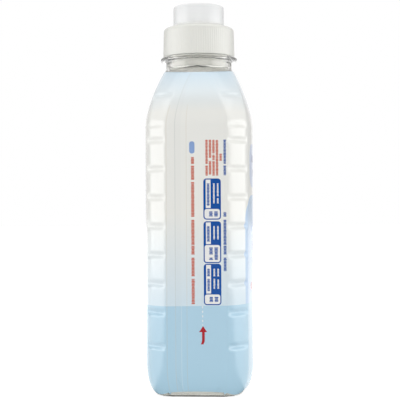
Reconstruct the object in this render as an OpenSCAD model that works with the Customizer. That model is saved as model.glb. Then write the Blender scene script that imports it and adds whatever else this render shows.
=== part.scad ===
// Fabric softener bottle: a clear blow-moulded bottle with gripping ribs at its four
// corners, a full-height shrink sleeve, a two-tier dosing cap and the liquid inside.
// Millimetres. +Z is up, the origin is under the middle of the base, and the broad
// label panel at the front faces -Y.

/* [Body] */
// Width across the front, over the bare bottle
body_width = 81.2; // [74:0.2:96]
// Depth from front to back at the crown of the panels, over the bare bottle
body_depth = 69.4; // [62:0.2:80]
// Height from the base to where the shoulder starts to draw in
body_height = 170; // [130:1:200]
// Height of the shoulder, from there to the round neck
shoulder_height = 39; // [32:0.5:50]
// Power of the shoulder's curve: 1 is a straight cone, more is fuller
shoulder_power = 1.6; // [1.3:0.1:2]
// How far each corner facet cuts back both panels that it joins
corner_cut = 12.4; // [9:0.2:16]
// Angle that a corner facet bows through in plan, in degrees: 90 makes a round corner
corner_bow = 44; // [16:2:80]
// How far the front and back panels crown out past the corners
panel_crown = 3.2; // [1:0.1:4]
// Wall of the blown body
body_wall = 0.6; // [0.4:0.1:1]

/* [Base] */
// Height of the rounded heel
heel_height = 20; // [14:1:26]
// How far the heel draws in from the body to the standing contour
heel_inset = 6; // [3:0.5:7]
// Width of the flat land that the bottle stands on
land_width = 3.5; // [2.5:0.5:5]
// Rise of the push-up in the middle of the base
push_up = 7; // [4:0.5:10]

/* [Corner ribs] */
// Depth of the grooves that divide the corner ribs
groove_depth = 1.3; // [0.6:0.1:1.8]
// Half height of a groove, from its bottom to the face of a rib
groove_reach = 2.6; // [2:0.1:3.2]
// Height of the single groove over the heel
groove_low_z = 32; // [28:0.5:42]
// Height of the lowest groove of the even row above it
groove_row_z = 53; // [48:0.2:62]
// Distance between the grooves of the even row, which fills the body
groove_pitch = 17.9; // [13:0.1:24]
// Height of the shallow groove over the start of the shoulder
ledge_rise = 0; // [0:0.5:4]
// Height of the deep groove over the start of the shoulder
shoulder_groove_rise = 19; // [15:0.5:23]

/* [Neck] */
// Radius of the neck under the support ring
neck_r = 21.4; // [18:0.1:24]
// Wall of the neck under the support ring
neck_wall = 2.6; // [2:0.1:3.2]
// Height of the neck, from the shoulder to the support ring
neck_height = 4.9; // [3:0.1:8]
// Thickness of the support ring
ring_thickness = 2.2; // [1.6:0.1:3]
// How far the support ring stands out from the neck
ring_reach = 3.7; // [2.6:0.1:5]
// Height of the finish that the cap screws over, from the support ring to the mouth
finish_height = 18.5; // [13:0.1:22]
// Wall of the finish
finish_wall = 1.6; // [1.2:0.1:2.2]

/* [Sleeve] */
// Thickness of the shrink sleeve
film = 0.25; // [0.15:0.05:0.4]
// Gap between the sleeve and the bottle
film_gap = 0.12; // [0.08:0.01:0.3]
// Mean height of the sleeve's lower edge on the heel
sleeve_low_z = 2.6; // [2:0.1:4]
// How far the lower edge arches up at the panels and down at the corners
sleeve_arch = 1.4; // [0:0.1:1.6]
// Mean drop of the sleeve's upper edge under the top of the shoulder
sleeve_drop = 3.5; // [3:0.1:8]
// How far the upper edge stands higher at the front and back than at the sides
sleeve_wave = 1.2; // [0:0.1:1.4]

/* [Cap] */
// Height of the upper tier's top over the mouth
cup_height = 15.4; // [12:0.2:24]
// Radius of the upper tier, the closed end of the dosing cup
cup_r = 16.7; // [13:0.1:17.5]
// Wall of the cap
cap_wall = 1.2; // [0.9:0.1:1.5]
// Room for the thread between the finish and the skirt's lower edge
thread_room = 1.9; // [1.5:0.1:2.6]
// How much narrower the skirt is at its top
skirt_draft = 0.45; // [0.2:0.05:0.6]
// Gap between the skirt's lower edge and the support ring
skirt_gap = 0.5; // [0.4:0.1:1.2]
// Slope of the conical step between the two tiers, in degrees
step_slope = 20; // [10:1:26]
// Rounding of the upper tier's top edge
cup_edge_r = 1.4; // [0.6:0.1:2]
// Rounding of the skirt's upper edge
skirt_edge_r = 2.2; // [1.4:0.1:2.6]
// Depth to which the cup reaches down into the neck, from the mouth
plug_depth = 25.4; // [6:0.2:30]
// Radial gap between the plug and the bore, and height of the gap over the mouth
cap_gap = 0.25; // [0.15:0.05:0.4]

/* [Softener] */
// Drop of the liquid's surface under the neck's root, or under the cup's rim if that is lower
fill_drop = 0.4; // [0.3:0.1:40]
// Gap between the liquid and the wall
fill_gap = 0.15; // [0.1:0.05:0.3]

/* [Hidden] */

// Segments of one quarter of the plan outline: side panel, corner facet, front panel
side_steps = 1;
corner_steps = 6;
front_steps = 2;
quarter_steps = side_steps + corner_steps + front_steps;
outline_steps = 4 * quarter_steps;
arc_steps = 6;
turn_fn = 96;

// Heights from the base up
neck_z = body_height + shoulder_height;
ring_z = neck_z + neck_height;
ring_top_z = ring_z + ring_thickness;
mouth_z = ring_top_z + finish_height;
sleeve_top_z = neck_z - sleeve_drop;

bore_r = neck_r - neck_wall;
finish_r = bore_r + finish_wall;
ring_fillet = neck_height / 4;
lip_r = finish_wall / 3;
// The round neck plunges into the body by this much, a little proud of both its faces
neck_root = 1.2;
neck_proud = 0.12;
// The liquid's surface keeps clear of the neck's root and of the cup's rim
fill_z = min(neck_z - neck_root, mouth_z - plug_depth) - fill_drop;
// The thick wall under the neck thins to the body's over this height
wall_fade = 12;
// The corner facets bow through this angle at the base, where their creases fade out
base_bow = 84;
// Share of its way from a panel's middle to a facet's that the sleeve's lower edge has bent
// down at the crease between them
crease_share = 1 / 3;

ledge_z = body_height + ledge_rise;
shoulder_groove_z = body_height + shoulder_groove_rise;
groove_row_end = ledge_z - 2 * groove_reach;
groove_heights = concat(
    [groove_low_z],
    [for (z = [groove_row_z : groove_pitch : groove_row_end]) z],
    [ledge_z, shoulder_groove_z]
);
// The groove where the shoulder starts is half as deep as the others
function groove_share(g) = g == ledge_z ? 0.5 : 1;
groove_end_z = shoulder_groove_z + groove_reach;

// The sleeve's edges bend the rings of points near them, between these heights
arch_fade_z = 0.6 * heel_height;
wave_start_z = neck_z - 3 * sleeve_drop;
wave_end_z = neck_z - neck_root;

// Heights of the rings that the ribbed outer wall is lofted through
function heel_ring(share) = share * heel_height;
function shoulder_ring(share) = body_height + share * shoulder_height;
body_rings = sorted(concat(
    [0, 0.3 * sleeve_low_z, sleeve_low_z],
    [for (s = [0.28, 0.475, 0.7, 1]) heel_ring(s)],
    [for (g = groove_heights) each [g - groove_reach, g, g + groove_reach]],
    [for (s = [0.2, 0.34, 0.68, 0.79, 0.95, 1]) shoulder_ring(s)],
    [sleeve_top_z]
));
// The smooth inner wall needs fewer
inner_rings = concat(
    [for (s = [0.06, 0.2, 0.475, 1]) heel_ring(s)],
    [for (s = [0, 0.2, 0.34, 0.5, 0.68, 0.79, 0.9, 1]) shoulder_ring(s)]
);

function sorted(list) =
    len(list) < 2 ? list
    : let (pivot = list[floor(len(list) / 2)])
      concat(
          sorted([for (v = list) if (v < pivot) v]),
          [pivot],
          sorted([for (v = list) if (v > pivot) v])
      );
function clamp(v) = max(0, min(1, v));
// Rises from 0 to 1 at the peak and falls back to 0
function hat(z, low, peak, high) =
    clamp(z < peak ? (z - low) / (peak - low) : (high - z) / (high - peak));

// How far the shoulder still is from the neck, and how far the heel draws in to the base
function fullness(z) = 1 - pow(clamp((z - body_height) / shoulder_height), shoulder_power);
function heel_draw(z) = heel_inset * (1 - sqrt(1 - pow(clamp(1 - z / heel_height), 2)));

// Point k of a quarter of the plan outline, from the middle of the side panel to the middle
// of the front panel, as [x, y, direction out, share of the way along the corner facet]. The
// body's flat side, bowed facet and crowned front turn into the round neck on the shoulder.
function quarter_point(z, k) =
    let (
        draw = heel_draw(z),
        c = corner_cut - draw / 3,
        cx = body_width / 2 - draw - c,
        cy = body_depth / 2 - draw - panel_crown - c,
        share = (k - side_steps) / corner_steps,
        bow = corner_bow + (base_bow - corner_bow) * draw / heel_inset,
        start = 45 - bow / 2,
        turn = start + bow * share,
        r = c / (sqrt(2) * sin(bow / 2)),
        facet_x = cx + c + r * (cos(turn) - cos(start)),
        facet_y = cy + r * (sin(turn) - sin(start)),
        s = (quarter_steps - k) / front_steps,
        front_y = cy + c + panel_crown * (1 - s * s),
        body = share < 0 ? [cx + c, cy * k / side_steps, 0, 0]
            : share < 1 ? [facet_x, facet_y, turn, share]
            : [cx * s, front_y, 90 - atan2(2 * panel_crown * s, cx), 0],
        t = 90 * k / quarter_steps,
        round_neck = [neck_r * cos(t), neck_r * sin(t), t, body[3]]
    )
    round_neck + (body - round_neck) * fullness(z);

// Point i of the whole outline: the quarters mirror each other
function plan_point(z, i) =
    let (
        q = floor(i / quarter_steps),
        r = i % quarter_steps,
        p = quarter_point(z, q % 2 == 0 ? r : quarter_steps - r),
        sx = q == 0 || q == 3 ? 1 : -1,
        sy = q < 2 ? 1 : -1
    )
    [sx * p[0], sy * p[1], atan2(sy * sin(p[2]), sx * cos(p[2])), p[3]];

// Depth of the grooves, which fade out towards both ends of a corner facet
function groove_fade(share) = 1 - pow(abs(2 * share - 1), 3);
function groove(z) =
    groove_depth * max([for (g = groove_heights)
        groove_share(g) * clamp(1 - abs(z - g) / groove_reach)]);
// A smooth wall keeps behind the grooves as far up as there are any
function behind_grooves(z) = groove_depth * clamp((neck_z - z) / (neck_z - groove_end_z));

// How far the sleeve's lower edge has bent down at point i: 0 in the middle of a panel and 1
// in the middle of a corner facet
function edge_bend(i) =
    let (
        r = i % quarter_steps,
        k = floor(i / quarter_steps) % 2 == 0 ? r : quarter_steps - r,
        share = clamp((k - side_steps) / corner_steps),
        panel = share == 0 ? k / side_steps : (quarter_steps - k) / front_steps
    )
    share == 0 || share == 1
        ? crease_share * panel
        : 1 - (1 - crease_share) * abs(2 * share - 1);
// Height of point i of an outer ring: rings near the sleeve's edges bend with those edges
function ring_height(z, i) =
    let (
        arch = cos(180 * edge_bend(i)) * hat(z, 0, sleeve_low_z, arch_fade_z),
        wave = cos(720 * i / outline_steps) * hat(z, wave_start_z, sleeve_top_z, wave_end_z)
    )
    z + sleeve_arch * arch - sleeve_wave * wave;

// Point i of a wall's ring, moved out in plan by an offset
function wall_point(z, i, offset, ribbed) =
    let (
        h = ribbed ? ring_height(z, i) : z,
        p = plan_point(h, i),
        depth = groove_fade(p[3]) * (ribbed ? groove(h) : behind_grooves(h)),
        move = offset - depth
    )
    [p.x + move * cos(p[2]), p.y + move * sin(p[2]), h];
function wall_ring(z, offset, ribbed) =
    [for (i = [0 : outline_steps - 1]) wall_point(z, i, offset, ribbed)];

// Rings of the push-up inside the standing land, lifted by a thickness
land_share = 1 - land_width / (body_depth / 2 - heel_inset);
function base_ring(share, lift) =
    [for (p = wall_ring(0, 0, true))
        [p.x * share, p.y * share, lift + push_up * (1 - pow(share / land_share, 2))]];
function base_rings(lift) = [for (s = [0.4, 0.75]) base_ring(s, lift)];

// Wall of the bottle at a height: thick under the neck, where a preform hardly stretches
function wall(z) =
    let (fade = clamp(1 - (neck_z - z) / wall_fade))
    body_wall + (neck_wall - neck_proud - body_wall) * fade;

// Triangles between the ring of n points that starts at index a and the one that starts at b.
// Facing in turns them over but keeps their diagonals, so that nested skins never cross.
function strip(n, a, b, facing_in) =
    [for (i = [0 : n - 1])
        let (j = (i + 1) % n)
        each facing_in
            ? [[a + i, b + j, b + i], [a + i, a + j, b + j]]
            : [[a + i, b + i, b + j], [a + i, b + j, a + j]]];
function skin(n, rings, from, facing_in) =
    [for (k = [0 : rings - 2]) each strip(n, from + k * n, from + (k + 1) * n, facing_in)];
function fan(n, from, centre, facing_in) =
    [for (i = [0 : n - 1])
        let (j = (i + 1) % n)
        facing_in ? [centre, from + j, from + i] : [centre, from + i, from + j]];

// A wall lofted through rings from the bottom up, on its outside and on its inside, joined by
// a rim at the top. With a centre point for each side it has a floor, or else a second rim.
module shell(outer, inner, outer_centre, inner_centre) {
    n = len(outer[0]);
    start = len(outer) * n;
    end = start + len(inner) * n;
    floored = is_list(outer_centre);
    polyhedron(
        points = concat(
            [for (r = outer) each r],
            [for (r = inner) each r],
            floored ? [outer_centre, inner_centre] : []
        ),
        faces = concat(
            skin(n, len(outer), 0, false),
            skin(n, len(inner), start, true),
            strip(n, start - n, end - n, false),
            floored
                ? concat(fan(n, 0, end, false), fan(n, start, end + 1, true))
                : strip(n, 0, start, true)
        )
    );
}

// A solid lofted through rings from the bottom up, with a centre point at each end
module loft(rings, bottom, top) {
    n = len(rings[0]);
    end = len(rings) * n;
    polyhedron(
        points = concat([for (r = rings) each r], [bottom, top]),
        faces = concat(
            fan(n, 0, end, false),
            skin(n, len(rings), 0, false),
            fan(n, end - n, end + 1, true)
        )
    );
}

// Points of an arc in a profile, from one angle to another
function arc(cx, cz, r, from, to) =
    [for (i = [0 : arc_steps])
        let (t = from + (to - from) * i / arc_steps) [cx + r * cos(t), cz + r * sin(t)]];

// The blown body as one wall, with the push-up in its floor
module blown_body() {
    shell(
        concat(
            base_rings(0),
            [base_ring(land_share, 0)],
            [for (z = body_rings) wall_ring(z, 0, true)]
        ),
        concat(
            base_rings(body_wall),
            [for (z = inner_rings) wall_ring(z, -wall(z), false)]
        ),
        [0, 0, push_up],
        [0, 0, push_up + body_wall]
    );
}

// The round neck with its support ring and the finish that takes the cap
module neck() {
    root_z = neck_z - neck_root;
    outer_r = neck_r + neck_proud;
    edge_r = ring_thickness / 2;
    edge_x = neck_r + ring_reach - edge_r;
    rotate_extrude($fn = turn_fn)
        polygon(concat(
            [[bore_r, root_z], [outer_r, root_z]],
            arc(outer_r + ring_fillet, ring_z - ring_fillet, ring_fillet, 180, 90),
            arc(edge_x, ring_z + edge_r, edge_r, -90, 90),
            [[finish_r, ring_top_z]],
            arc(finish_r - lip_r, mouth_z - lip_r, lip_r, 0, 90),
            [[bore_r, mouth_z]]
        ));
}

module bottle() {
    color([0.88, 0.92, 0.93, 0.45])
        union() {
            blown_body();
            neck();
        }
}

// The printed film, shrunk on to the bottle from the heel to the shoulder
module shrink_sleeve() {
    heights = [for (z = body_rings) if (z >= sleeve_low_z && z <= sleeve_top_z) z];
    color([0.8, 0.87, 0.91])
        shell(
            [for (z = heights) wall_ring(z, film_gap + film, true)],
            [for (z = heights) wall_ring(z, film_gap, true)]
        );
}

// One moulding: a skirt over the finish, a conical step, and the dosing cup, which reaches
// down into the neck
module cap() {
    top_z = mouth_z + cup_height;
    under_z = mouth_z + cap_gap;
    skirt_low = ring_top_z + skirt_gap;
    skirt_r = finish_r + thread_room + cap_wall;
    skirt_top_r = skirt_r - skirt_draft;
    rim_r = bore_r - cap_gap;
    rim_low = mouth_z - plug_depth;
    bend_r = skirt_top_r - skirt_edge_r;
    bend_z = step_z(bend_r) - skirt_edge_r / cos(step_slope);
    // Top of the conical step, which leaves the deck one wall thick at the finish's edge
    function step_z(r) = under_z + cap_wall + (finish_r - r) * tan(step_slope);
    color("white")
        rotate_extrude($fn = turn_fn)
            polygon(concat(
                [[0, top_z]],
                arc(cup_r - cup_edge_r, top_z - cup_edge_r, cup_edge_r, 90, 0),
                [[cup_r, step_z(cup_r)]],
                arc(bend_r, bend_z, skirt_edge_r, 90 - step_slope, 0),
                [
                    [skirt_r, skirt_low],
                    [skirt_r - cap_wall, skirt_low],
                    [skirt_top_r - cap_wall, bend_z],
                    [finish_r, under_z],
                    [rim_r, under_z],
                    [rim_r, rim_low],
                    [rim_r - cap_wall, rim_low],
                    [rim_r - cap_wall, step_z(rim_r) - cap_wall],
                    [cup_r - cap_wall, step_z(cup_r) - cap_wall],
                    [cup_r - cap_wall, top_z - cap_wall],
                    [0, top_z - cap_wall]
                ]
            ));
}

// The liquid fills the bottle up to its surface at the top of the shoulder
module softener() {
    low_z = inner_rings[0] + fill_gap;
    heights = concat([for (z = inner_rings) if (z < fill_z) max(z, low_z)], [fill_z]);
    color([0.9, 0.9, 0.86])
        loft(
            concat(
                base_rings(body_wall + fill_gap),
                [for (z = heights) wall_ring(z, -wall(z) - fill_gap, false)]
            ),
            [0, 0, push_up + body_wall + fill_gap],
            [0, 0, fill_z]
        );
}

bottle();
shrink_sleeve();
cap();
softener();
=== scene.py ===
"""The looks of a clear softener bottle in a printed shrink sleeve, with its white dosing cap.

Lengths are in millimetres, in the part's own frame, until a mesh is made. Colours are written
as sRGB values from 0 to 255.
"""
import math

import bpy
from mathutils import Matrix, Vector


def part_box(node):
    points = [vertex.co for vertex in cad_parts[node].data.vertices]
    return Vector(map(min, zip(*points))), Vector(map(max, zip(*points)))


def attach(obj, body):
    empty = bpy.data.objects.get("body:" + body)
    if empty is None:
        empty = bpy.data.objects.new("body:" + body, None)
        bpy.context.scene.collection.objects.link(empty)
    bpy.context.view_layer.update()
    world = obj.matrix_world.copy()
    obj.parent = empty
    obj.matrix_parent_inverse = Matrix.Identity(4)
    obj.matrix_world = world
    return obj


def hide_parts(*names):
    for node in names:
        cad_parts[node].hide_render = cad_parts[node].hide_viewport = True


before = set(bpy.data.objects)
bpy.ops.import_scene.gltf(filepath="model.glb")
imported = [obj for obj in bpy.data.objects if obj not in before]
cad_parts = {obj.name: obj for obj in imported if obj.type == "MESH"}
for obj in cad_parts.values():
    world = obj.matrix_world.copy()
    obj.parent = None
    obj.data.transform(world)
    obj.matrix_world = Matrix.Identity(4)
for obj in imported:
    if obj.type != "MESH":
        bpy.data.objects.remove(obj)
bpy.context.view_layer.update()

MM = 0.001


def node_box(node):
    """Lowest and highest corner of a CAD node, in millimetres."""
    low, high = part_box(node)
    return low / MM, high / MM


bottle_low, bottle_high = node_box("bottle")
cap_low, cap_high = node_box("cap")
fill_high = node_box("softener")[1]

# Sizes that the frame gives
body_width = bottle_high.x - bottle_low.x
body_depth = bottle_high.y - bottle_low.y
mouth_z = bottle_high.z
fill_z = fill_high.z
cap_top_z = cap_high.z
cup_low_z = cap_low.z
skirt_r = cap_high.x

# Body
body_height = 170
shoulder_power = 1.6
corner_cut = 12.4
corner_bow = math.radians(44)
base_bow = math.radians(84)
panel_crown = 3.2
body_wall = 0.6
heel_height = 20
heel_inset = 6
land_width = 3.5
push_up = 7
mould_line = 0.3

# Grooves between the corner ribs
groove_depth = 1.3
groove_reach = 2.6
groove_fade_power = 3
groove_low_z = 32
groove_row_z = 53
groove_pitch = 17.9
groove_row_count = 7
ledge_z = body_height
shoulder_groove_z = body_height + 19
groove_end_z = shoulder_groove_z + groove_reach

# Neck and its finish
neck_r = 21.4
neck_wall = 2.6
neck_proud = 0.12
neck_height = 4.9
neck_start = 0.05
bore_start = 0.4
ring_thickness = 2.2
ring_reach = 3.7
finish_height = 18.5
finish_wall = 1.6
wall_fade = 12
bore_r = neck_r - neck_wall
finish_r = bore_r + finish_wall
lip_r = finish_wall / 3
ring_top_z = mouth_z - finish_height
ring_z = ring_top_z - ring_thickness
neck_z = ring_z - neck_height
shoulder_height = neck_z - body_height

# Screw threads of the neck and the cap, which clear each other
thread_pitch = 4.5
thread_turns = 1.4
thread_rise = 0.8
thread_half = 1.1
thread_flank = 0.6
thread_fade = 0.06
neck_thread_z = ring_top_z + 5
cap_thread_z = neck_thread_z - thread_pitch / 2

# Shrink sleeve
film = 0.25
film_gap = 0.12
sleeve_low_z = 2.6
sleeve_arch = 1.4
crease_share = 1 / 3
sleeve_drop = 3.5
sleeve_wave = 1.2
sleeve_top_z = neck_z - sleeve_drop
arch_fade_z = 0.6 * heel_height
wave_start_z = neck_z - 3 * sleeve_drop
wave_end_z = neck_z - 1.2
print_shift = 2.5

# Cap
cup_r = 16.7
cap_wall = 1.2
cap_gap = 0.25
skirt_gap = 0.5
skirt_low_z = ring_top_z + skirt_gap
skirt_draft = 0.45
step_slope = math.radians(20)
cup_edge_r = 1.4
skirt_edge_r = 2.2
knurl_count = 96
knurl_depth = 0.1
knurl_fade = 1.2
knurl_stop = 0.1
cap_edge = 0.3

# Softener
fill_gap = 0.15
meniscus = 0.6
meniscus_reach = 1.5
meniscus_bend = 0.8
brim_room = 1

# Fineness of the meshes
side_steps = 4
corner_steps = 24
front_steps = 8
quarter_steps = side_steps + corner_steps + front_steps
outline_steps = 4 * quarter_steps
level_step = 0.8
inner_step = 3
mould_step = 0.4
thread_step = 0.35
cap_thread_step = 0.5
knurl_step = 1.2
push_up_steps = (0.15, 0.3, 0.45, 0.6, 0.75, 0.88, 1)
arc_steps = 8
cap_steps = 6 * knurl_count


def clamp(value):
    """The value, kept between 0 and 1."""
    return max(0, min(1, value))


def steps_between(low, high, step):
    """Evenly spaced values from low to high, no further apart than the step."""
    count = math.ceil((high - low) / step)
    return [low + (high - low) * i / count for i in range(count + 1)]


def hat(z, low, peak, high):
    """Rises from 0 to 1 at the peak and falls back to 0."""
    return clamp((z - low) / (peak - low) if z < peak else (high - z) / (high - peak))


def polar(radius, angle):
    return radius * math.cos(angle), radius * math.sin(angle)


# The plan outline of the body

def fullness(z):
    """How far the shoulder still is from the round neck."""
    return 1 - clamp((z - body_height) / shoulder_height) ** shoulder_power


def heel_draw(z):
    """How far the heel has drawn in towards the base."""
    return heel_inset * (1 - math.sqrt(1 - clamp(1 - z / heel_height) ** 2))


def panel_share(k):
    """Share of the way from a panel's middle to its crease at point k of a quarter.

    The points crowd towards the creases, which keeps those narrow."""
    if k < side_steps:
        away = 1 - k / side_steps
    else:
        away = (k - side_steps - corner_steps) / front_steps
    return 1 - away * away


def quarter_point(z, k):
    """Point k from the middle of a side panel to the middle of a front or back panel.

    Gives x, y, the direction out and the share of the way along the corner facet."""
    draw = heel_draw(z)
    c = corner_cut - draw / 3
    cx = body_width / 2 - draw - c
    cy = body_depth / 2 - draw - panel_crown - c
    share = (k - side_steps) / corner_steps
    if share < 0:
        body = (cx + c, cy * panel_share(k), 0, 0)
    elif share < 1:
        bow = corner_bow + (base_bow - corner_bow) * draw / heel_inset
        start = math.pi / 4 - bow / 2
        turn = start + bow * share
        r = c / (math.sqrt(2) * math.sin(bow / 2))
        x = cx + c + r * (math.cos(turn) - math.cos(start))
        y = cy + r * (math.sin(turn) - math.sin(start))
        body = (x, y, turn, share)
    else:
        s = panel_share(k)
        out = math.pi / 2 - math.atan2(2 * panel_crown * s, cx)
        body = (cx * s, cy + c + panel_crown * (1 - s * s), out, 0)
    t = math.pi / 2 * k / quarter_steps
    round_neck = (*polar(neck_r, t), t, body[3])
    full = fullness(z)
    return [b + (a - b) * full for a, b in zip(body, round_neck)]


def quarter_place(i):
    """The quarter that point i of the whole outline is in, and its place k there.

    The quarters mirror each other."""
    quarter, rest = divmod(i % outline_steps, quarter_steps)
    return quarter, rest if quarter % 2 == 0 else quarter_steps - rest


def plan_point(z, i):
    """Point i of the whole outline."""
    quarter, k = quarter_place(i)
    x, y, out, share = quarter_point(z, k)
    sx = 1 if quarter in (0, 3) else -1
    sy = 1 if quarter < 2 else -1
    return sx * x, sy * y, math.atan2(sy * math.sin(out), sx * math.cos(out)), share


groove_heights = {groove_low_z: 1, ledge_z: 0.5, shoulder_groove_z: 1}
for row in range(groove_row_count):
    groove_heights[groove_row_z + row * groove_pitch] = 1


def groove(z):
    """Depth of the rounded grooves at a height, in the middle of a corner."""
    shares = [
        share * (1 + math.cos(math.pi * min(1, abs(z - height) / groove_reach))) / 2
        for height, share in groove_heights.items()
    ]
    return groove_depth * max(shares)


def behind_grooves(z):
    """How far a smooth wall keeps back, to stay behind the grooves."""
    return groove_depth * clamp((neck_z - z) / (neck_z - groove_end_z))


def groove_fade(share):
    """Grooves fade out towards both ends of a corner facet."""
    return 1 - abs(2 * share - 1) ** groove_fade_power


def edge_bend(i):
    """How far the sleeve's lower edge has bent down at point i: 0 in the middle of a panel
    and 1 in the middle of a corner facet."""
    k = quarter_place(i)[1]
    share = clamp((k - side_steps) / corner_steps)
    if share in (0, 1):
        return crease_share * panel_share(k)
    return 1 - (1 - crease_share) * abs(2 * share - 1)


def ring_height(z, i):
    """Height of point i of a ring: rings near the sleeve's edges bend with them."""
    angle = 2 * math.pi * i / outline_steps
    arch = math.cos(math.pi * edge_bend(i)) * hat(z, 0, sleeve_low_z, arch_fade_z)
    wave = math.cos(2 * angle) * hat(z, wave_start_z, sleeve_top_z, wave_end_z)
    return z + sleeve_arch * arch - sleeve_wave * wave


def outer_point(z, i, offset=0):
    """Point i of a ribbed skin, moved out in plan by an offset."""
    h = ring_height(z, i)
    x, y, out, share = plan_point(h, i)
    dx, dy = polar(offset - groove_fade(share) * groove(h), out)
    return x + dx, y + dy, h


def inner_point(z, i, offset):
    """Point i of a smooth skin behind the grooves."""
    x, y, out, share = plan_point(z, i)
    dx, dy = polar(offset - groove_fade(share) * behind_grooves(z), out)
    return x + dx, y + dy, z


def wall(z):
    """The bottle's wall at a height: thick under the neck, where a preform hardly stretches."""
    fade = clamp(1 - (neck_z - z) / wall_fade)
    return body_wall + (neck_wall - neck_proud - body_wall) * fade


def outer_ring(z, offset=0):
    return [outer_point(z, i, offset) for i in range(outline_steps)]


def inner_ring(z, gap=0):
    return [inner_point(z, i, -wall(z) - gap) for i in range(outline_steps)]


def base_ring(share, lift):
    """A ring of the push-up inside the standing land, lifted by a thickness."""
    z = lift + push_up * (1 - (share / land_share) ** 2)
    return [(x * share, y * share, z) for x, y, _ in outer_ring(0)]


land_share = 1 - land_width / (body_depth / 2 - heel_inset)
base_shares = [land_share * s for s in push_up_steps]
sleeve_levels = steps_between(sleeve_low_z, sleeve_top_z, level_step)
inner_low_z = 0.06 * heel_height
inner_levels = steps_between(inner_low_z, neck_z, inner_step)


# Round pieces

def arc(cx, cz, r, start, end):
    """Points of an arc in a profile, from one angle to another in degrees."""
    angles = [math.radians(start + (end - start) * i / arc_steps) for i in range(arc_steps + 1)]
    return [(cx + r * math.cos(a), cz + r * math.sin(a)) for a in angles]


def round_ring(r, z, count, rise=None):
    """A ring of points about the axis; rise gives how far a point stands out by its angle."""
    ring = []
    for i in range(count):
        angle = 2 * math.pi * i / count
        ring.append((*polar(r + (rise(angle) if rise else 0), angle), z))
    return ring


def thread(z, angle, start_z):
    """How far a single thread stands out at a height and an angle."""
    turn = angle / (2 * math.pi)
    turn += round((z - start_z) / thread_pitch - turn)
    away = abs(z - start_z - turn * thread_pitch)
    ends = clamp(min(turn, thread_turns - turn) / thread_fade)
    return thread_rise * ends * clamp((thread_half - away) / thread_flank)


# Meshes

def ring_mesh(name, rings, start=None, end=None):
    """A closed mesh through rings that go up on the outside and down on the inside.

    It is closed by a centre point at both ends, or else the last ring joins the first."""
    n = len(rings[0])
    points = [p for ring in rings for p in ring]
    pairs = [(a, a + 1) for a in range(len(rings) - 1)]
    if start is None:
        pairs.append((len(rings) - 1, 0))
    faces = []
    for a, b in pairs:
        for i in range(n):
            j = (i + 1) % n
            faces.append((a * n + i, a * n + j, b * n + j, b * n + i))
    if start is not None:
        first = len(points)
        last_ring = first - n
        points += [start, end]
        for i in range(n):
            j = (i + 1) % n
            faces.append((first, j, i))
            faces.append((first + 1, last_ring + i, last_ring + j))
    mesh = bpy.data.meshes.new(name)
    mesh.from_pydata([Vector(p) * MM for p in points], [], faces)
    mesh.validate()
    return mesh


def add_piece(mesh, node, body, material, sharp_angle):
    """Puts a mesh in the scene in place of its CAD node, on the node's body.

    Edges that bend by more than the sharp angle, in degrees, stay sharp."""
    mesh.shade_smooth()
    mesh.set_sharp_from_angle(angle=math.radians(sharp_angle))
    mesh.materials.append(material)
    piece = bpy.data.objects.new(mesh.name, mesh)
    bpy.context.scene.collection.objects.link(piece)
    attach(piece, body)
    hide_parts(node)


def bottle_mesh():
    """The clear bottle as one wall, from the push-up over the neck and back down inside."""

    def mould_marked(z):
        ring = outer_ring(z)
        for i in (0, outline_steps // 2):
            ring[i] = outer_point(z, i, mould_line)
        return ring

    edge_r = ring_thickness / 2
    fillet = neck_height / 4
    outer_r = neck_r + neck_proud
    neck_profile = [
        *arc(outer_r + fillet, ring_z - fillet, fillet, 180, 90),
        *arc(neck_r + ring_reach - edge_r, ring_z + edge_r, edge_r, -90, 90),
    ]
    lip_profile = arc(finish_r - lip_r, mouth_z - lip_r, lip_r, 0, 90)
    heel_levels = (0, 0.3 * sleeve_low_z)
    clear_levels = steps_between(sleeve_top_z + mould_step, neck_z, mould_step)
    finish_levels = steps_between(ring_top_z, mouth_z - lip_r, thread_step)
    bore_levels = (mouth_z, ring_z, neck_z + bore_start)

    def finish_ring(z):
        return round_ring(finish_r, z, outline_steps, lambda a: thread(z, a, neck_thread_z))

    rings = [base_ring(s, 0) for s in base_shares]
    rings += [outer_ring(z) for z in heel_levels]
    rings += [outer_ring(z) for z in sleeve_levels]
    rings += [mould_marked(z) for z in clear_levels]
    rings += [round_ring(outer_r, neck_z + neck_start, outline_steps)]
    rings += [round_ring(r, z, outline_steps) for r, z in neck_profile]
    rings += [finish_ring(z) for z in finish_levels]
    rings += [round_ring(r, z, outline_steps) for r, z in lip_profile]
    rings += [round_ring(bore_r, z, outline_steps) for z in bore_levels]
    rings += [inner_ring(z) for z in reversed(inner_levels)]
    rings += [base_ring(s, body_wall) for s in reversed(base_shares)]
    return ring_mesh("bottle_shell", rings, (0, 0, push_up), (0, 0, push_up + body_wall))


def sleeve_mesh():
    """The film, with a map that gives each spot's place on the print in millimetres.

    The map's first number is the distance round the bottle from the print's middle line on the
    -X panel, which grows towards the front, and the second is the height."""
    rings = [outer_ring(z, film_gap + film) for z in sleeve_levels]
    rings += [outer_ring(z, film_gap) for z in reversed(sleeve_levels)]
    mesh = ring_mesh("sleeve_film", rings)
    places = print_places()
    layer = mesh.uv_layers.new(name="print")
    for face in mesh.polygons:
        columns = [mesh.loops[k].vertex_index % outline_steps for k in face.loop_indices]
        wraps = max(columns) - min(columns) > 1
        for k, column in zip(face.loop_indices, columns):
            if wraps and column == 0:
                column = outline_steps
            height = mesh.vertices[mesh.loops[k].vertex_index].co.z / MM
            layer.data[k].uv = (places[column], height)
    return mesh


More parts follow.
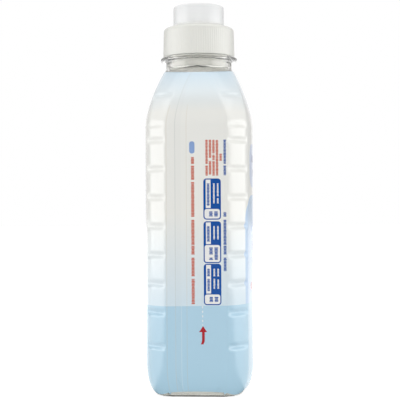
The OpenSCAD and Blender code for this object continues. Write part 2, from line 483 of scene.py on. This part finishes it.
def print_places():
    """Distance round the straight body of each column of points, from the print's middle line."""
    level = body_height / 2
    plan = [Vector(plan_point(level, i)[:2]) for i in range(outline_steps + 1)]
    places = [0]
    for a, b in zip(plan, plan[1:]):
        places.append(places[-1] + (b - a).length)
    middle = places[outline_steps // 2] + print_shift
    return [place - middle for place in places]


def cap_mesh():
    """One moulding: the dosing cup that reaches into the neck, the step and the knurled skirt."""
    under_z = mouth_z + cap_gap
    rim_r = bore_r - cap_gap
    skirt_top_r = skirt_r - skirt_draft

    def step_z(r):
        return under_z + cap_wall + (finish_r - r) * math.tan(step_slope)

    bend_r = skirt_top_r - skirt_edge_r
    bend_z = step_z(bend_r) - skirt_edge_r / math.cos(step_slope)

    def skirt_radius(z):
        return skirt_r - skirt_draft * clamp((z - skirt_low_z) / (bend_z - skirt_low_z))

    def thread_ring(z):
        inner = skirt_radius(z) - cap_wall
        return round_ring(inner, z, cap_steps, lambda a: -thread(z, a, cap_thread_z))

    def knurl_ring(z):
        fade = clamp(min(z - skirt_low_z, bend_z + knurl_fade - z) / knurl_fade)
        depth = knurl_depth * fade

        def cut(angle):
            return -depth * (1 - math.cos(knurl_count * angle)) / 2

        return round_ring(skirt_radius(z), z, cap_steps, cut)

    inside = [
        *arc(cup_r - 2 * cap_wall, cap_top_z - 2 * cap_wall, cap_wall, 90, 0),
        (cup_r - cap_wall, step_z(cup_r) - cap_wall),
        (rim_r - cap_wall, step_z(rim_r) - cap_wall),
        *arc(rim_r - cap_wall / 2, cup_low_z + cap_wall / 2, cap_wall / 2, 180, 360),
        (rim_r, under_z),
        (finish_r, under_z),
    ]
    outside = [
        *arc(bend_r, bend_z, skirt_edge_r, 0, 90 - math.degrees(step_slope)),
        (cup_r + cap_edge, step_z(cup_r + cap_edge)),
        (cup_r, step_z(cup_r) + cap_edge),
        *arc(cup_r - cup_edge_r, cap_top_z - cup_edge_r, cup_edge_r, 0, 90),
    ]
    edge_z = skirt_low_z + cap_edge
    thread_levels = steps_between(edge_z, bend_z, cap_thread_step)
    knurl_levels = steps_between(edge_z, bend_z - knurl_stop, knurl_step)
    rings = [round_ring(r, z, cap_steps) for r, z in inside]
    rings += [thread_ring(z) for z in reversed(thread_levels)]
    rings += [round_ring(skirt_r - cap_wall + cap_edge, skirt_low_z, cap_steps)]
    rings += [round_ring(skirt_r - cap_edge, skirt_low_z, cap_steps)]
    rings += [knurl_ring(z) for z in knurl_levels]
    rings += [round_ring(r, z, cap_steps) for r, z in outside]
    return ring_mesh("cap_shell", rings, (0, 0, cap_top_z - cap_wall), (0, 0, cap_top_z))


def softener_mesh():
    """The liquid, with its surface drawn up a little where it meets the wall."""
    levels = [z for z in inner_levels if z < fill_z - brim_room]
    lowest = levels[0] + fill_gap
    brim = inner_ring(fill_z, fill_gap)

    def surface(reach, drop):
        ring = []
        for x, y, z in brim:
            keep = 1 - reach / math.hypot(x, y)
            ring.append((x * keep, y * keep, z - drop))
        return ring

    rings = [base_ring(s, body_wall + fill_gap) for s in base_shares]
    rings += [inner_ring(max(z, lowest), fill_gap) for z in levels]
    rings.append(brim)
    rings.append(surface(meniscus_reach / 2, meniscus_bend * meniscus))
    rings.append(surface(meniscus_reach, meniscus))
    bottom = (0, 0, push_up + body_wall + fill_gap)
    return ring_mesh("softener_fill", rings, bottom, (0, 0, fill_z - meniscus))


# Materials

def linear(colour):
    """An sRGB colour from 0 to 255 as the linear colour that a socket takes."""

    def channel(value):
        share = value / 255
        return share / 12.92 if share <= 0.04045 else ((share + 0.055) / 1.055) ** 2.4

    return (*[channel(value) for value in colour], 1)


class Field:
    """A number that varies over a surface, with arithmetic that makes shader nodes."""

    def __init__(self, tree, socket):
        self.tree = tree
        self.socket = socket

    def math(self, operation, *others):
        node = self.tree.nodes.new("ShaderNodeMath")
        node.operation = operation
        for entry, value in zip(node.inputs, (self, *others)):
            if isinstance(value, Field):
                self.tree.links.new(value.socket, entry)
            else:
                entry.default_value = value
        return Field(self.tree, node.outputs[0])

    def __add__(self, other):
        return self.math("ADD", other)

    def __sub__(self, other):
        return self.math("SUBTRACT", other)

    def __mul__(self, other):
        return self.math("MULTIPLY", other)

    def __abs__(self):
        return self.math("ABSOLUTE")

    def above(self, edge):
        return self.math("GREATER_THAN", edge)

    def below(self, edge):
        return self.math("LESS_THAN", edge)

    def between(self, low, high):
        return self.above(low) * self.below(high)

    def at_least(self, least):
        return self.math("MAXIMUM", least)

    def either(self, other):
        return self.math("MAXIMUM", other)

    def repeated(self, pitch):
        """The place within each pitch, from 0 up."""
        return self.math("FLOORED_MODULO", pitch)

    def ramp(self, low, high, start=0, end=1):
        """Goes smoothly from one value to another between two places."""
        node = self.tree.nodes.new("ShaderNodeMapRange")
        node.interpolation_type = "SMOOTHSTEP"
        self.tree.links.new(self.socket, node.inputs["Value"])
        node.inputs["From Min"].default_value = low
        node.inputs["From Max"].default_value = high
        node.inputs["To Min"].default_value = start
        node.inputs["To Max"].default_value = end
        return Field(self.tree, node.outputs["Result"])

    def noise(self, scale, detail=0):
        """Smooth noise along this one direction."""
        node = self.tree.nodes.new("ShaderNodeTexNoise")
        node.noise_dimensions = "1D"
        self.tree.links.new(self.socket, node.inputs["W"])
        node.inputs["Scale"].default_value = scale
        node.inputs["Detail"].default_value = detail
        return Field(self.tree, node.outputs["Fac"])


def new_material(name, viewport_colour):
    """A material with its shader node, ready to be set."""
    material = bpy.data.materials.new(name)
    material.use_nodes = True
    material.diffuse_color = linear(viewport_colour)
    return material, material.node_tree, material.node_tree.nodes["Principled BSDF"]


def object_place(tree):
    """The place on the piece, in its own frame, as a vector socket."""
    return tree.nodes.new("ShaderNodeTexCoord").outputs["Object"]


def height_of(tree):
    """Height on the piece in millimetres."""
    parts = tree.nodes.new("ShaderNodeSeparateXYZ")
    tree.links.new(object_place(tree), parts.inputs[0])
    return Field(tree, parts.outputs["Z"]) * (1 / MM)


def grain(tree, scale, detail=2):
    """Noise over the piece, with a scale in spots per metre."""
    node = tree.nodes.new("ShaderNodeTexNoise")
    tree.links.new(object_place(tree), node.inputs["Vector"])
    node.inputs["Scale"].default_value = scale
    node.inputs["Detail"].default_value = detail
    return Field(tree, node.outputs["Fac"])


def set_bump(tree, shader, height, strength, distance):
    """Lets a field lift the surface by up to a distance in millimetres."""
    node = tree.nodes.new("ShaderNodeBump")
    node.inputs["Strength"].default_value = strength
    node.inputs["Distance"].default_value = distance * MM
    tree.links.new(height.socket, node.inputs["Height"])
    tree.links.new(node.outputs["Normal"], shader.inputs["Normal"])


def set_roughness(tree, shader, scale, low, high):
    """Lets the gloss vary a little over the piece, in spots per metre."""
    roughness = grain(tree, scale).ramp(0.3, 0.7, low, high)
    tree.links.new(roughness.socket, shader.inputs["Roughness"])


def set_depth(shader, weight, depth):
    """Lets light sink into a pale piece by a depth in millimetres, red light the furthest."""
    shader.inputs["Subsurface Weight"].default_value = weight
    shader.inputs["Subsurface Radius"].default_value = (1, 0.97, 0.9)
    shader.inputs["Subsurface Scale"].default_value = depth * MM


def colour_ramp(tree, field, stops):
    """A colour that follows a field through stops of (value, colour)."""
    low = stops[0][0]
    high = stops[-1][0]
    node = tree.nodes.new("ShaderNodeValToRGB")
    tree.links.new(((field - low) * (1 / (high - low))).socket, node.inputs["Fac"])
    ramp = node.color_ramp
    while len(ramp.elements) < len(stops):
        ramp.elements.new(1)
    for element, (value, colour) in zip(ramp.elements, stops):
        element.position = (value - low) / (high - low)
        element.color = linear(colour)
    return node.outputs["Color"]


def paint(tree, under, mask, colour):
    """Lays a colour over another where a mask is 1."""
    node = tree.nodes.new("ShaderNodeMix")
    node.data_type = "RGBA"
    tree.links.new(mask.socket, node.inputs["Factor"])
    tree.links.new(under, node.inputs["A"])
    if isinstance(colour, tuple):
        node.inputs["B"].default_value = linear(colour)
    else:
        tree.links.new(colour, node.inputs["B"])
    return node.outputs["Result"]


# Shapes of print, as masks over a place u round the bottle and a height v

def rounded_box(u, v, left, right, low, high, radius):
    across = (abs(u - (left + right) / 2) - ((right - left) / 2 - radius)).at_least(0)
    along = (abs(v - (low + high) / 2) - ((high - low) / 2 - radius)).at_least(0)
    return (across * across + along * along).below(radius * radius)


def disc(u, v, at_u, at_v, radius):
    across = u - at_u
    along = v - at_v
    return (across * across + along * along).below(radius * radius)


def dotted_line(u, v, at, pitch, radius):
    return disc(u, v.repeated(pitch), at, pitch / 2, radius)


def dashed_line(u, v, at, half_width, pitch, dash):
    return u.between(at - half_width, at + half_width) * v.repeated(pitch).below(dash)


# Print too small to read: its letters and gaps, how its noise runs, and how low a letter can be
letter_pitch = 0.9
letter_gap = 0.18
letter_scale = 1.4
least_letter = 0.75
word_scale = 0.3
row_shift = 37


def unread_lines(along, across, low, high, start, pitch, height, lines=1, gap_level=0.28):
    """Lines of print too small to read: broken bars with uneven edges.

    The lines run along one direction from low to high, and repeat across the other. A higher
    gap level widens the gaps between words."""
    row = ((across - start) * (1 / pitch)).math("FLOOR")
    place = along + row * row_shift
    words = place.noise(word_scale).above(gap_level)
    words = words * along.repeated(letter_pitch).above(letter_gap)
    letters = place.noise(letter_scale).ramp(0.35, 0.65, least_letter, 1) * (height / 2)
    line_middle = (across - start).repeated(pitch) - height / 2
    bars = (letters - abs(line_middle)).above(0)
    within = across.between(start, start + pitch * lines) * along.between(low, high)
    return within * words * bars


# Colours of the print
# Bluer and darker at the shoulder: the print's blue tint, with painted shade
FILM_TOP_TINT_AND_SHADE = (206, 226, 239)
FILM_WHITE = (239, 239, 234)
FILM_LOW = (214, 230, 239)
BAND_TOP = (181, 215, 234)
BAND_LOW = (178, 213, 231)
BAND_PALE = (205, 227, 239)
PRINT_BLUE = (4, 80, 164)
PRINT_DEEP = (9, 66, 146)
PRINT_RED = (202, 86, 56)
ARROW_RED = (178, 22, 36)
PALE_BLUE = (140, 168, 216)
LILAC = (200, 213, 238)
WASH_BLUE = (188, 212, 238)
FRONT_WHITE = (240, 244, 249)
WHITE = (240, 240, 238)
PERFORATION = (206, 188, 158)
SEAM = (200, 205, 203)

# Colours of the other pieces and the floor
PET = (253, 253, 250)
PET_DEPTH = (226, 222, 214)
# Painted light: the plug in the neck is painted whiter than the cup, to light it behind the clear
# neck
PLUG_LIT_WHITE = (250, 250, 246)
# Painted shade: the skirt is painted darker and warmer than the cup, for the thin skirt over the
# neck
SKIRT_SHADED_WHITE = (231, 231, 225)
CUP_WHITE = (239, 240, 240)
MILKY = (243, 243, 238)
MILKY_PALE = (248, 248, 244)
FLOOR = (238, 238, 238)
FLOOR_MIRRORED = (130, 130, 130)

# PET: how it bends light, and how much it takes up per metre
pet_ior = 1.575
pet_density = 12

# Places on the print: heights, and distances round from its middle line on the -X panel
band_z = 57.4
band_tilt = 0.012
seam_u = -15.7
seam_end_u = -12
seam_half = 0.25
perforation_u = (-21, -8.6)
perforation_top_z = 182
hole_pitch = 1.2
hole_r = 0.3
front_u = 64
back_u = -69


def film_ground(tree, u, v):
    """The film's colours: milky above, and a pale blue band below. Towards the shoulder it turns
    bluer and darker, partly the print's tint and partly painted shade.
    """
    milky = [
        (60, FILM_LOW),
        (115, FILM_WHITE),
        (178, FILM_WHITE),
        # The shoulder's stop is the print's tint with painted shade
        (205, FILM_TOP_TINT_AND_SHADE),
    ]
    band = [(0, BAND_LOW), (60, BAND_TOP)]
    colour = colour_ramp(tree, v, milky)
    in_band = (v - u * band_tilt).below(band_z)
    return paint(tree, colour, in_band, colour_ramp(tree, v, band))


def film_lines(tree, colour, u, v):
    """The overlap where the film was joined, and two lines of tear-off holes."""
    overlap = u.between(seam_u, seam_end_u)
    colour = paint(tree, colour, overlap * 0.06, SEAM)
    edge = abs(u - seam_u).below(seam_half)
    colour = paint(tree, colour, edge * 0.4, SEAM)
    pale_edge = abs(u - seam_end_u).below(0.8 * seam_half) * v.below(band_z)
    colour = paint(tree, colour, pale_edge * 0.7, BAND_PALE)
    for at in perforation_u:
        holes = dotted_line(u, v, at, hole_pitch, hole_r) * v.below(perforation_top_z)
        colour = paint(tree, colour, holes * 0.4, PERFORATION)
    return colour


def side_print(tree, colour, u, v):
    """Small print, sorting boxes and the tear-off arrow on the -X panel."""
    long = unread_lines(v, u, low=58.4, high=149.7, start=-5.8, pitch=2.6, height=2.2)
    block = unread_lines(v, u, low=138.1, high=160.3, start=3.2, pitch=2.15, height=1.7, lines=4)
    word = unread_lines(
        v, u, low=147.2, high=151.6, start=11.9, pitch=2.2, height=1.7, gap_level=0.1
    )
    colour = paint(tree, colour, long.either(block).either(word), PRINT_RED)
    upper = unread_lines(v, u, low=138.2, high=160.3, start=14.4, pitch=2.2, height=1.7)
    lower = unread_lines(v, u, low=78.9, high=115.5, start=14.2, pitch=2.2, height=1.9)
    colour = paint(tree, colour, upper.either(lower), PRINT_BLUE)
    pill = rounded_box(u, v, left=-6.7, right=-3.4, low=151.8, high=159.4, radius=1.6)
    colour = paint(tree, colour, pill, PALE_BLUE)
    colour = sorting_box(tree, colour, u, v, low=110.8, high=136.3, cell=6.6)
    colour = sorting_box(tree, colour, u, v, low=83.9, high=109.8, cell=11.2)
    colour = sorting_box(tree, colour, u, v, low=57.9, high=83.5, cell=6.6)
    dashes = dashed_line(u, v, at=1.1, half_width=0.3, pitch=2.8, dash=1.2)
    colour = paint(tree, colour, dashes * v.between(45.4, 57.2), WHITE)
    return paint(tree, colour, arrow(u, v), ARROW_RED)


def sorting_box(tree, colour, u, v, low, high, cell):
    """A rounded box with a white strip, a blue field and a white cell at its lower end."""
    left = 1.9
    right = 12.8
    strip_left = left + 1.5
    strip_right = left + 4.5
    edge = 0.7
    cell_top = low + cell
    strip_low = cell_top + 0.6
    text_low = cell_top + 2
    text_high = high - 3
    field = rounded_box(u, v, left, right, low, high, radius=2)
    colour = paint(tree, colour, field, PRINT_BLUE)
    white_cell = rounded_box(u, v, left + edge, right - edge, low + edge, cell_top, radius=1.4)
    strip = u.between(strip_left, strip_right) * v.between(strip_low, high - edge)
    colour = paint(tree, colour, white_cell.either(strip), WHITE)
    name = unread_lines(v, u, text_low, text_high, start=left + 2.1, pitch=4, height=1.8)
    code = unread_lines(
        v, u, low + 2, cell_top - 1.5, start=left + 3.4, pitch=3.2, height=2.4, lines=2
    )
    colour = paint(tree, colour, name.either(code), PRINT_BLUE)
    pale = unread_lines(
        v, u, text_low + 1.5, text_high, start=strip_right + 1.5, pitch=2.4, height=1.1, lines=2
    )
    return paint(tree, colour, pale, WHITE)


def arrow(u, v):
    """An arrow that points up, with a tail that bends aside."""
    middle = 1.3
    head_low = 41.2
    head_top = 45
    head_slope = 0.66
    tail_low = 33.6
    tail_middle = 1.5
    tail_half = 0.85
    bend_z = tail_low + 3
    head = ((v * -1 + head_top) * head_slope - abs(u - middle)).above(0) * v.above(head_low)
    bend = (v * -1 + bend_z).at_least(0)
    tail = abs(u - tail_middle + bend * bend * 0.1).below(tail_half)
    return head.either(tail * v.between(tail_low, head_low + 0.2))


def front_box(u, v, half_width, low, high, radius):
    """A rounded box in the middle of the front."""
    return rounded_box(u, v, front_u - half_width, front_u + half_width, low, high, radius)


def front_print(tree, colour, u, v):
    """A lilac field with two bars, bubbles on a blue wash and a white panel, on the front."""
    over_band = (v - u * band_tilt).above(band_z)
    wash = front_box(u, v, half_width=33, low=30, high=126, radius=16)
    colour = paint(tree, colour, wash * over_band, WASH_BLUE)
    field = front_box(u, v, half_width=23.5, low=131, high=159, radius=9)
    colour = paint(tree, colour, field, LILAC)
    upper_bar = front_box(u, v, half_width=15, low=147, high=152, radius=1.5)
    lower_bar = front_box(u, v, half_width=11, low=138.5, high=142.5, radius=1.5)
    colour = paint(tree, colour, upper_bar.either(lower_bar), PRINT_DEEP)
    for at_u, at_v, radius, shade in bubbles():
        colour = paint(tree, colour, disc(u, v, at_u, at_v, radius), shade)
        aside = 0.35 * radius
        glint = disc(u, v, at_u - aside, at_v + aside, 0.22 * radius)
        colour = paint(tree, colour, glint, FRONT_WHITE)
    spot = disc(u, v, front_u - 19, at_v=68, radius=2.6)
    colour = paint(tree, colour, spot, PRINT_RED)
    panel = front_box(u, v, half_width=14, low=16, high=55, radius=8)
    colour = paint(tree, colour, panel, FRONT_WHITE)
    small = unread_lines(u, v, front_u - 11, front_u + 11, start=26, pitch=5.5, height=3, lines=4)
    return paint(tree, colour, small, PRINT_BLUE)


def bubbles():
    """Bubbles that rise over the front panel along a spiral, each with its shade."""
    shades = (PRINT_BLUE, PALE_BLUE, LILAC, PRINT_DEEP)
    count = 14
    turn = 2.4
    middle_v = 97
    stretch = 1.5
    found = []
    for k in range(count):
        across, along = polar(5 * math.sqrt(k), turn * k)
        at_u = front_u + across
        at_v = middle_v + stretch * along
        radius = 7 - 0.4 * k
        found.append((at_u, at_v, radius, shades[k % len(shades)]))
    return found


def back_print(tree, colour, u, v):
    """Blocks of small print on the back panel."""
    left = back_u - 20
    right = back_u + 20
    upper = unread_lines(u, v, left, right, start=96, pitch=3, height=1.4, lines=20)
    lower = unread_lines(u, v, left, right, start=64, pitch=3, height=1.4, lines=8)
    return paint(tree, colour, upper.either(lower), PRINT_BLUE)


def pucker(u, v, at, lean, top):
    """A small leaning crease at the lower edge, where the film shrank most."""
    away = abs(u - at - v * lean)
    return away.ramp(0, 0.5, 1, 0) * v.ramp(top - 4, top, 1, 0)


def puckers(u, v):
    """The creases on the -X panel."""
    ridges = pucker(u, v, at=-11, lean=-0.3, top=15)
    ridges = ridges.either(pucker(u, v, at=-12.6, lean=0.1, top=8))
    ridges = ridges.either(pucker(u, v, at=9.5, lean=0.25, top=9))
    return ridges.either(pucker(u, v, at=13.4, lean=-0.2, top=10))


def film_material():
    """Satin printed film, shrunk tight, with fine wrinkles where it shrank the most."""
    material, tree, shader = new_material("printed_film", FILM_WHITE)
    place = tree.nodes.new("ShaderNodeUVMap")
    place.uv_map = "print"
    parts = tree.nodes.new("ShaderNodeSeparateXYZ")
    tree.links.new(place.outputs["UV"], parts.inputs[0])
    u = Field(tree, parts.outputs["X"])
    v = Field(tree, parts.outputs["Y"])
    colour = film_ground(tree, u, v)
    colour = film_lines(tree, colour, u, v)
    colour = side_print(tree, colour, u, v)
    colour = front_print(tree, colour, u, v)
    colour = back_print(tree, colour, u, v)
    tree.links.new(colour, shader.inputs["Base Color"])
    set_roughness(tree, shader, scale=900, low=0.13, high=0.19)
    shader.inputs["IOR"].default_value = pet_ior
    shader.inputs["Specular IOR Level"].default_value = 0.8
    near_low_edge = v.ramp(4, 16, 1, 0)
    near_top_edge = v.ramp(188, 204)
    wrinkles = u.noise(0.35, 2) * near_low_edge.either(near_top_edge)
    overlap = u.ramp(seam_u - seam_half, seam_u + seam_half) * 0.5
    relief = wrinkles + overlap + puckers(u, v) * 1.5 + grain(tree, 60) * 0.5
    set_bump(tree, shader, relief, strength=0.5, distance=0.3)
    return material


def clear_material():
    """Clear PET, which looks greyer where the light passes through more of it."""
    material, tree, shader = new_material("clear_pet", (225, 230, 230))
    shader.inputs["Base Color"].default_value = linear(PET)
    shader.inputs["Transmission Weight"].default_value = 0.95
    shader.inputs["IOR"].default_value = pet_ior
    set_roughness(tree, shader, scale=400, low=0.01, high=0.05)
    set_bump(tree, shader, grain(tree, 90), strength=0.2, distance=0.1)
    volume = tree.nodes.new("ShaderNodeVolumeAbsorption")
    volume.inputs["Color"].default_value = linear(PET_DEPTH)
    volume.inputs["Density"].default_value = pet_density
    output = tree.nodes["Material Output"]
    tree.links.new(volume.outputs["Volume"], output.inputs["Volume"])
    return material


def cap_material():
    """White polypropylene. The skirt is painted a little darker and warmer than the cup, as
    painted shade for the thin skirt over the neck, and the plug is painted whiter than the cup,
    as painted light for the plug behind the clear neck.
    """
    material, tree, shader = new_material("white_pp", (236, 236, 234))
    z = height_of(tree)
    step = mouth_z + cap_gap + cap_wall
    # The plug's stop is painted light and the skirt's stops are painted shade; the cup keeps its
    # plain white
    stops = [
        (ring_top_z - 0.5, PLUG_LIT_WHITE),
        (ring_top_z, SKIRT_SHADED_WHITE),
        (step, SKIRT_SHADED_WHITE),
        (step + 2.5, CUP_WHITE),
    ]
    tree.links.new(colour_ramp(tree, z, stops), shader.inputs["Base Color"])
    set_roughness(tree, shader, scale=700, low=0.1, high=0.15)
    set_depth(shader, weight=0.1, depth=1)
    set_bump(tree, shader, grain(tree, 1500), strength=0.15, distance=0.05)
    return material


def softener_material():
    """A milky white liquid with a warm tint."""
    material, tree, shader = new_material("softener", (246, 245, 238))
    stops = [(0.3, MILKY), (0.7, MILKY_PALE)]
    tree.links.new(colour_ramp(tree, grain(tree, 25), stops), shader.inputs["Base Color"])
    shader.inputs["Roughness"].default_value = 0.12
    set_depth(shader, weight=0.3, depth=4)
    return material


# The studio

def rays(tree, kind):
    """1 for the rays that an output of the Light Path node names."""
    return Field(tree, tree.nodes.new("ShaderNodeLightPath").outputs[kind])


def seen_rays(tree):
    """1 for rays that come from the camera, a reflection or a clear piece."""
    seen = rays(tree, "Is Camera Ray").either(rays(tree, "Is Glossy Ray"))
    return seen.either(rays(tree, "Is Transmission Ray"))


def mirror_rays(tree):
    """1 for reflections alone, because rays through a clear piece count as glossy too."""
    return (rays(tree, "Is Glossy Ray") - rays(tree, "Is Transmission Ray")).at_least(0)


def towards(tree, direction, azimuth):
    """How far a direction points towards an azimuth: 1 is straight at it."""
    node = tree.nodes.new("ShaderNodeVectorMath")
    node.operation = "DOT_PRODUCT"
    tree.links.new(direction, node.inputs[0])
    node.inputs[1].default_value = around(azimuth, 1, 0)
    return Field(tree, node.outputs["Value"])


def dark_patch(facing, reach, depth):
    """How dark it is about a direction, out to a reach in degrees, with a soft edge beyond it."""
    angle = math.radians(reach)
    return facing.ramp(math.cos(patch_edge * angle), math.cos(angle), 0, depth)


def make_world():
    """White to look at, with a soft light on the object that comes more from the camera's side.

    Two dark sides behind the object mark edges: they show through clear pieces, and weakly in
    reflections. The room behind the camera is dark in reflections, which keeps the print's
    colours deep, but its soft light also passes through clear pieces."""
    world = bpy.data.worlds.new("studio")
    bpy.context.scene.world = world
    world.use_nodes = True
    tree = world.node_tree
    background = tree.nodes["Background"]
    background.inputs["Color"].default_value = (1, 1, 1, 1)
    direction = tree.nodes.new("ShaderNodeTexCoord").outputs["Generated"]
    front = towards(tree, direction, camera_azimuth)
    lit = front.at_least(0)
    soft = lit * lit * front_fill + ambient
    left = towards(tree, direction, camera_azimuth - dark_turn)
    right = towards(tree, direction, camera_azimuth + dark_turn)
    dark = dark_patch(left.either(right), dark_reach, dark_depth)
    room = dark_patch(front, room_reach, room_depth)
    through = rays(tree, "Is Transmission Ray")
    mirrored = mirror_rays(tree)
    darkness = dark * (through + mirrored * dark_mirrored) + room * mirrored
    white = darkness * -1 + 1
    shown = white.either(soft * through)
    strength = soft + seen_rays(tree) * (shown - soft)
    tree.links.new(strength.socket, background.inputs["Strength"])


def make_floor():
    """A pale floor that looks white and keeps the object's shadow.

    On the camera's side it is dark in reflections, like the room."""
    mesh = bpy.data.meshes.new("floor")
    ends = [(-1, -1), (1, -1), (1, 1), (-1, 1)]
    corners = [(x * floor_reach, y * floor_reach, -floor_gap) for x, y in ends]
    mesh.from_pydata(corners, [], [(0, 1, 2, 3)])
    material, tree, shader = new_material("pale_floor", (245, 245, 245))
    place = object_place(tree)
    direction = tree.nodes.new("ShaderNodeVectorMath")
    direction.operation = "NORMALIZE"
    tree.links.new(place, direction.inputs[0])
    front = towards(tree, direction.outputs["Vector"], camera_azimuth)
    hidden = dark_patch(front, room_reach, room_depth) * mirror_rays(tree)
    shades = [(0, FLOOR), (1, FLOOR_MIRRORED)]
    tree.links.new(colour_ramp(tree, hidden, shades), shader.inputs["Base Color"])
    shader.inputs["Roughness"].default_value = 0.9
    shader.inputs["Specular IOR Level"].default_value = 0.1
    shader.inputs["Emission Color"].default_value = (1, 1, 1, 1)
    away = tree.nodes.new("ShaderNodeVectorMath")
    away.operation = "LENGTH"
    tree.links.new(place, away.inputs[0])
    glow = Field(tree, away.outputs["Value"]).ramp(0.1, 0.7, floor_glow, 1)
    strength = (seen_rays(tree) - hidden) * glow
    tree.links.new(strength.socket, shader.inputs["Emission Strength"])
    mesh.materials.append(material)
    floor = bpy.data.objects.new("floor", mesh)
    bpy.context.scene.collection.objects.link(floor)


def around(azimuth, distance, height):
    """A spot round the object in metres; azimuth 0 is in front of it, and -90 on its -X side."""
    angle = math.radians(azimuth)
    return Vector((math.sin(angle) * distance, -math.cos(angle) * distance, height))


def add_lamp(name, azimuth, distance, height, size, power):
    """A softbox that faces the object."""
    lamp = bpy.data.lights.new(name, "AREA")
    lamp.shape = "RECTANGLE"
    lamp.size, lamp.size_y = size
    lamp.energy = power
    holder = bpy.data.objects.new(name, lamp)
    holder.location = around(azimuth, distance, height)
    aim = Vector((0, 0, aim_height)) - holder.location
    holder.rotation_euler = aim.to_track_quat("-Z", "Y").to_euler()
    bpy.context.scene.collection.objects.link(holder)


def add_camera():
    """A level camera at the height of the body's middle, on the -X side."""
    data = bpy.data.cameras.new("camera")
    data.sensor_width = 36
    data.lens = camera_lens
    data.clip_start = 0.05
    camera = bpy.data.objects.new("camera", data)
    place = Matrix.Translation(around(camera_azimuth, camera_distance, camera_height))
    aim = Matrix.Rotation(math.radians(camera_azimuth), 4, "Z")
    level = Matrix.Rotation(math.pi / 2, 4, "X")
    roll = Matrix.Rotation(math.radians(camera_roll), 4, "Z")
    camera.matrix_world = place @ aim @ level @ roll
    data.shift_x = camera_shift
    bpy.context.scene.collection.objects.link(camera)
    bpy.context.scene.camera = camera


# Camera, in metres, degrees and millimetres of lens
camera_azimuth = -87
camera_distance = 0.66
camera_height = 0.123
camera_lens = 90
camera_roll = -0.32
camera_shift = 0.0008

# The world's light and its dark sides, in degrees
ambient = 0.34
front_fill = 1.34
dark_turn = 142
dark_reach = 20
dark_depth = 0.85
dark_mirrored = 0.5
room_reach = 51
room_depth = 0.96
patch_edge = 1.25

# Floor, in metres
floor_reach = 4
floor_gap = 0.3 * MM
floor_glow = 0.7

# Lamps, in metres, degrees and watts
aim_height = 0.125
side_turn = 80
side_distance = 0.95
side_height = 0.23
side_lamp = (1.2, 0.47)
left_power = 2.5
right_power = 2.55
top_distance = 0.15
top_height = 1
top_lamp = (1.8, 0.6)
top_power = 1.8

bpy.context.scene.view_settings.view_transform = "Standard"

clear_pet = clear_material()
printed_film = film_material()
white_pp = cap_material()
liquid = softener_material()
add_piece(bottle_mesh(), "bottle", "bottle", clear_pet, sharp_angle=40)
add_piece(sleeve_mesh(), "shrink_sleeve", "bottle", printed_film, sharp_angle=50)
add_piece(cap_mesh(), "cap", "cap", white_pp, sharp_angle=35)
add_piece(softener_mesh(), "softener", "bottle", liquid, sharp_angle=40)

make_world()
make_floor()
left_azimuth = camera_azimuth - side_turn
right_azimuth = camera_azimuth + side_turn
add_lamp("left_softbox", left_azimuth, side_distance, side_height, side_lamp, left_power)
add_lamp("right_softbox", right_azimuth, side_distance, side_height, side_lamp, right_power)
add_lamp("top_softbox", camera_azimuth, top_distance, top_height, top_lamp, top_power)
add_camera()
